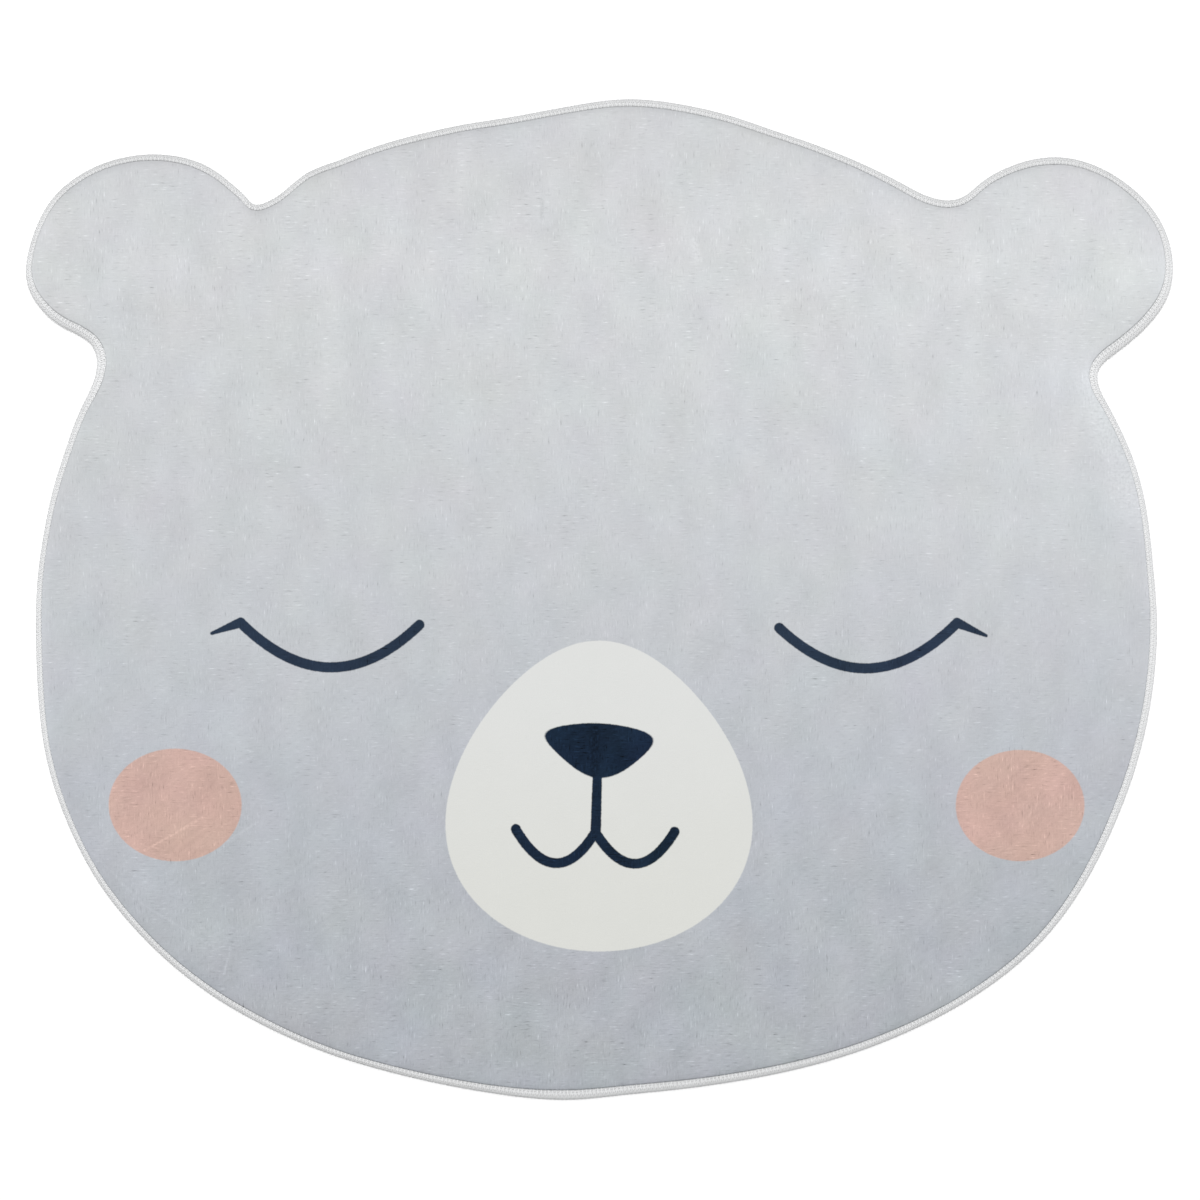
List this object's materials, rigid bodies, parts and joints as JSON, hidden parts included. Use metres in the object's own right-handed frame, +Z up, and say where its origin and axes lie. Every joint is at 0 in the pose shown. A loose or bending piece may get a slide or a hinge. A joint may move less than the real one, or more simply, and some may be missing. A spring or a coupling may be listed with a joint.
{
  "type": "animal shaped kids rug",
  "caption": "Flat bear's-head floor rug: pale grey low-pile cloth cut with two round ears, a printed sleeping face, and a white overlocked thread binding round its edge.",
  "frame": {"origin": "middle of the outline's box, on the floor", "axes": "+X to the right across the ears and +Y to the crown, seen from above; +Z up out of the pile"},
  "size_m": [0.8, 0.698, 0.0056],
  "materials": {
    "pile": "short velvet pile, printed",
    "binding_thread": "matte spun thread"
  },
  "bodies": {
    "root": {"pile_cloth": "pile", "edge_binding": "binding_thread"}
  },
  "joints": []
}
